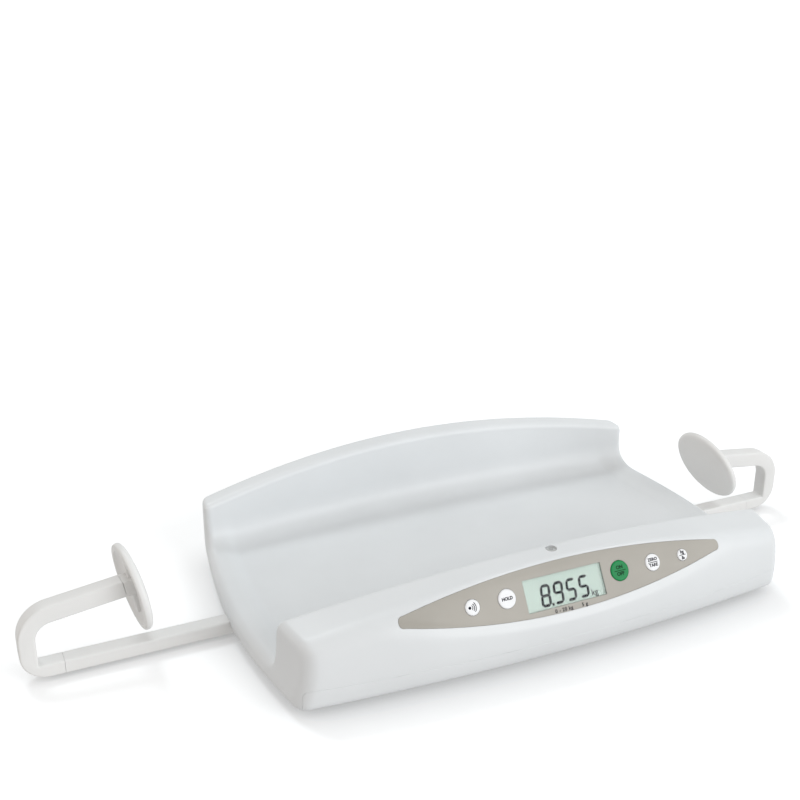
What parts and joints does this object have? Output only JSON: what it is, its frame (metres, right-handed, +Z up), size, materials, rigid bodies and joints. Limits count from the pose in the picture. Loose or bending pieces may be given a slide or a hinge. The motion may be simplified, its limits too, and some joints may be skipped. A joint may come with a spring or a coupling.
{
  "type": "digital baby weighing scale",
  "caption": "Digital baby weighing scale with a lying trough, a lens-shaped key panel with a screen, and two sliding measuring rods with round end plates that tilt.",
  "frame": {"origin": "middle of the part's footprint, on the surface that it stands on", "axes": "+X along the trough towards the head end, +Z up, the key panel faces -Y"},
  "size_m": [0.927, 0.3854, 0.1265],
  "materials": {
    "shell": "satin moulded plastic, cool white",
    "rod_shell": "satin moulded plastic, neutral white",
    "panel": "printed film, warm grey",
    "window": "clear, polished",
    "screen": "pale green liquid-crystal screen",
    "board": "green solder resist",
    "dark": "moulded",
    "rubber": "matt",
    "steel": "plated",
    "level": "clear, polished",
    "cell": "plain sleeve",
    "button_white": "satin",
    "button_green": "satin"
  },
  "bodies": {
    "scale": {"weighing_tray": "shell", "base_shell": "shell", "control_panel": "panel", "display_window": "window", "display_module": "screen", "main_board": "board", "sound_switch": "dark", "hold_switch": "dark", "on_off_switch": "dark", "zero_tare_switch": "dark", "unit_switch": "dark", "sounder": "dark", "level_vial": "level", "guide_strap_foot_outer": "shell", "guide_strap_foot_inner": "shell", "guide_strap_head_inner": "shell", "guide_strap_head_outer": "shell", "foot_pad_foot_end_front": "rubber", "foot_cup_foot_end_front": "dark", "load_cell_foot_end_front": "steel", "foot_pad_foot_end_rear": "rubber", "foot_cup_foot_end_rear": "dark", "load_cell_foot_end_rear": "steel", "foot_pad_head_end_front": "rubber", "foot_cup_head_end_front": "dark", "load_cell_head_end_front": "steel", "foot_pad_head_end_rear": "rubber", "foot_cup_head_end_rear": "dark", "load_cell_head_end_rear": "steel", "battery_1": "cell", "battery_2": "cell", "battery_3": "cell", "battery_4": "cell", "battery_contact_front": "steel", "battery_contact_rear": "steel", "case_screw_foot_end_front": "steel", "case_screw_foot_end_rear": "steel", "case_screw_middle_front": "steel", "case_screw_middle_rear": "steel", "case_screw_head_end_front": "steel", "case_screw_head_end_rear": "steel"},
    "foot_rod": {"foot_bar": "rod_shell", "foot_handle": "rod_shell", "foot_paddle_pin": "steel"},
    "foot_paddle": {"foot_paddle": "rod_shell"},
    "head_rod": {"head_bar": "rod_shell", "head_handle": "rod_shell", "head_paddle_pin": "steel"},
    "head_paddle": {"head_paddle": "rod_shell"},
    "battery_door": {"battery_door": "shell"},
    "sound_button": {"sound_button": "button_white"},
    "hold_button": {"hold_button": "button_white"},
    "on_off_button": {"on_off_button": "button_green"},
    "zero_tare_button": {"zero_tare_button": "button_white"},
    "unit_button": {"unit_button": "button_white"}
  },
  "joints": [
    {"name": "foot_slide", "type": "slide", "parent": "scale", "child": "foot_rod", "axis": [-1, 0, 0], "range_m": [-0.18, 0.03]},
    {"name": "head_slide", "type": "slide", "parent": "scale", "child": "head_rod", "axis": [1, 0, 0], "range_m": [-0.09, 0.125]},
    {"name": "foot_tilt", "type": "hinge", "parent": "foot_rod", "child": "foot_paddle", "pos_m": [-0.35295, 0.00863, 0.0803], "axis": [0.1045, -0.9945, 0], "range_deg": [-34, 0.5]},
    {"name": "head_tilt", "type": "hinge", "parent": "head_rod", "child": "head_paddle", "pos_m": [0.36265, 0.00863, 0.0803], "axis": [-0.1045, 0.9945, 0], "range_deg": [-1.7, 32.5]},
    {"name": "door_hinge", "type": "hinge", "parent": "scale", "child": "battery_door", "pos_m": [0.04505, 0.11063, 0.008], "axis": [1, 0, 0], "range_deg": [0, 90]},
    {"name": "sound_press", "type": "slide", "parent": "scale", "child": "sound_button", "axis": [0, 0.8508, -0.5255], "range_m": [0, 0.0008], "stiffness_N_per_m": 1000},
    {"name": "hold_press", "type": "slide", "parent": "scale", "child": "hold_button", "axis": [0, 0.8508, -0.5255], "range_m": [0, 0.0008], "stiffness_N_per_m": 1000},
    {"name": "on_off_press", "type": "slide", "parent": "scale", "child": "on_off_button", "axis": [0, 0.8508, -0.5255], "range_m": [0, 0.0008], "stiffness_N_per_m": 1000},
    {"name": "zero_tare_press", "type": "slide", "parent": "scale", "child": "zero_tare_button", "axis": [0, 0.8508, -0.5255], "range_m": [0, 0.0008], "stiffness_N_per_m": 1000},
    {"name": "unit_press", "type": "slide", "parent": "scale", "child": "unit_button", "axis": [0, 0.8508, -0.5255], "range_m": [0, 0.0008], "stiffness_N_per_m": 1000}
  ]
}
